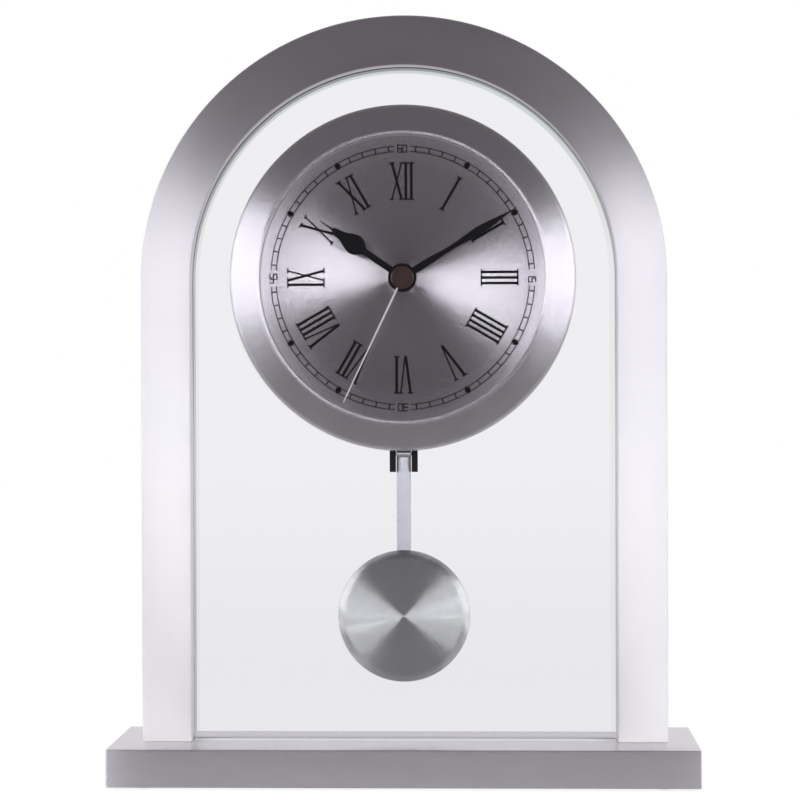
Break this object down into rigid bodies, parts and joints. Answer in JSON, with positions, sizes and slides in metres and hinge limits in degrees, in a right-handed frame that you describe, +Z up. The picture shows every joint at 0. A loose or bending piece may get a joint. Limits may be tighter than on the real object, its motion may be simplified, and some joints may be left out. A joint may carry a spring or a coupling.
{
  "type": "desk pendulum clock",
  "caption": "Desk clock with a round head and a hanging pendulum on a glass pane inside a brushed aluminium arch.",
  "frame": {"origin": "middle of the underside, at the feet, where the clock stands", "axes": "+Z up, the dial faces -Y, +X to the right as seen from the front"},
  "size_m": [0.2, 0.06, 0.2629],
  "materials": {
    "base_aluminium": "brushed along its length",
    "arch_aluminium": "brushed along the arch",
    "bezel_aluminium": "spun",
    "dial_silver": "spun, silvered",
    "spacer_silver": "satin",
    "bob_aluminium": "spun",
    "rod_steel": "bright drawn strip",
    "pane_glass": "clear, polished",
    "lens_glass": "clear, flat",
    "fibreboard": "raw",
    "pad_rubber": "matte",
    "gasket_clear": "matte",
    "dial_ink": "printed",
    "hand_black": "gloss black",
    "hand_white": "silver",
    "cap_brown": "gloss",
    "screw_steel": "zinc plated",
    "head_black": "moulded",
    "case_black": "moulded",
    "hanger_black": "moulded",
    "plate_plastic": "moulded",
    "wheel_plastic": "moulded",
    "magnet_grey": "sintered",
    "turned_brass": "turned",
    "board_green": "laminate",
    "resin_black": "epoxy",
    "can_metal": "bright",
    "stator_iron": "stamped",
    "copper_wire": "enamelled copper wire",
    "spring_metal": "nickel plated",
    "battery_sleeve": "printed sleeve",
    "socket_plastic": "moulded"
  },
  "bodies": {
    "stand": {"base_cover": "base_aluminium", "base_core": "fibreboard", "foot_pads": "pad_rubber", "leg_screws": "screw_steel", "arch_frame": "arch_aluminium", "glass_pane": "pane_glass", "pane_gasket": "gasket_clear", "drum_body": "head_black", "bezel_ring": "bezel_aluminium", "lens_gasket": "gasket_clear", "lens_glass": "lens_glass", "dial_spacer": "spacer_silver", "dial_plate": "dial_silver", "dial_numerals": "dial_ink", "minute_track": "dial_ink", "track_figures": "dial_ink", "clamp_gasket": "pad_rubber", "clamp_plate": "head_black", "clamp_screws": "screw_steel", "movement_case": "case_black", "movement_cover": "case_black", "cover_screws": "screw_steel", "coil_cover": "case_black", "centre_bush": "turned_brass", "centre_washer": "turned_brass", "centre_nut": "turned_brass", "middle_plate": "plate_plastic", "train_bridge": "plate_plastic", "bridge_screws": "screw_steel", "circuit_board": "board_green", "chip_blob": "resin_black", "crystal_can": "can_metal", "stator": "stator_iron", "stepper_coil": "copper_wire", "positive_contact": "spring_metal", "negative_contact": "spring_metal", "pendulum_coil": "copper_wire", "pivot_pin": "screw_steel"},
    "seconds": {"seconds_wheel": "wheel_plastic", "second_hand": "hand_white", "hand_cap": "cap_brown"},
    "third": {"third_wheel": "wheel_plastic"},
    "centre": {"centre_wheel": "wheel_plastic"},
    "intermediate": {"intermediate_wheel": "wheel_plastic"},
    "rotor_body": {"rotor": "wheel_plastic", "rotor_magnet": "magnet_grey"},
    "minutes": {"cannon_pinion": "wheel_plastic", "minute_hand": "hand_black"},
    "minute_wheel_body": {"minute_wheel": "wheel_plastic"},
    "hours": {"hour_wheel": "wheel_plastic", "hour_hand": "hand_black"},
    "setting": {"setting_arbor": "wheel_plastic", "set_knob": "case_black"},
    "hanger": {"pendulum_hanger": "hanger_black", "hanger_magnet": "magnet_grey", "cross_pin": "screw_steel"},
    "pendulum": {"pendulum_rod": "rod_steel", "pendulum_bob": "bob_aluminium", "bob_socket": "socket_plastic"},
    "battery": {"battery_cell": "battery_sleeve"}
  },
  "joints": [
    {"name": "second_hand_spin", "type": "hinge", "parent": "stand", "child": "seconds", "pos_m": [0, 0, 0.1727], "axis": [0, 1, 0], "continuous": true},
    {"name": "third_wheel_spin", "type": "hinge", "parent": "stand", "child": "third", "pos_m": [0.00846, 0, 0.17578], "axis": [0, 1, 0], "continuous": true},
    {"name": "centre_wheel_spin", "type": "hinge", "parent": "stand", "child": "centre", "pos_m": [0, 0, 0.1727], "axis": [0, 1, 0], "continuous": true},
    {"name": "intermediate_spin", "type": "hinge", "parent": "stand", "child": "intermediate", "pos_m": [-0.0035, 0, 0.17876], "axis": [0, 1, 0], "continuous": true},
    {"name": "rotor_spin", "type": "hinge", "parent": "stand", "child": "rotor_body", "pos_m": [-0.0005, 0, 0.18396], "axis": [0, 1, 0], "continuous": true},
    {"name": "minute_hand_spin", "type": "hinge", "parent": "stand", "child": "minutes", "pos_m": [0, 0, 0.1727], "axis": [0, 1, 0], "continuous": true},
    {"name": "minute_wheel_spin", "type": "hinge", "parent": "stand", "child": "minute_wheel_body", "pos_m": [-0.00693, 0, 0.1767], "axis": [0, 1, 0], "continuous": true},
    {"name": "hour_hand_spin", "type": "hinge", "parent": "stand", "child": "hours", "pos_m": [0, 0, 0.1727], "axis": [0, 1, 0], "continuous": true},
    {"name": "set_knob_spin", "type": "hinge", "parent": "stand", "child": "setting", "pos_m": [-0.00832, 0, 0.18458], "axis": [0, 1, 0], "continuous": true},
    {"name": "pendulum_swing", "type": "hinge", "parent": "stand", "child": "hanger", "pos_m": [0, -0.0072, 0.1415], "axis": [0, 1, 0], "range_deg": [-7, 7]},
    {"name": "rod_tilt", "type": "hinge", "parent": "hanger", "child": "pendulum", "pos_m": [0, -0.0072, 0.1125], "axis": [-1, 0, 0], "range_deg": [0, 15]},
    {"name": "battery_slide", "type": "slide", "parent": "stand", "child": "battery", "axis": [0, 1, 0], "range_m": [0, 0.025]}
  ],
  "couplings": [
    {"joint": "third_wheel_spin", "follows": "second_hand_spin", "ratio": -0.125},
    {"joint": "centre_wheel_spin", "follows": "second_hand_spin", "ratio": 0.016667},
    {"joint": "intermediate_spin", "follows": "second_hand_spin", "ratio": -6},
    {"joint": "rotor_spin", "follows": "second_hand_spin", "ratio": 30},
    {"joint": "minute_wheel_spin", "follows": "minute_hand_spin", "ratio": -0.33333},
    {"joint": "hour_hand_spin", "follows": "minute_hand_spin", "ratio": 0.083333},
    {"joint": "set_knob_spin", "follows": "minute_hand_spin", "ratio": 1}
  ]
}
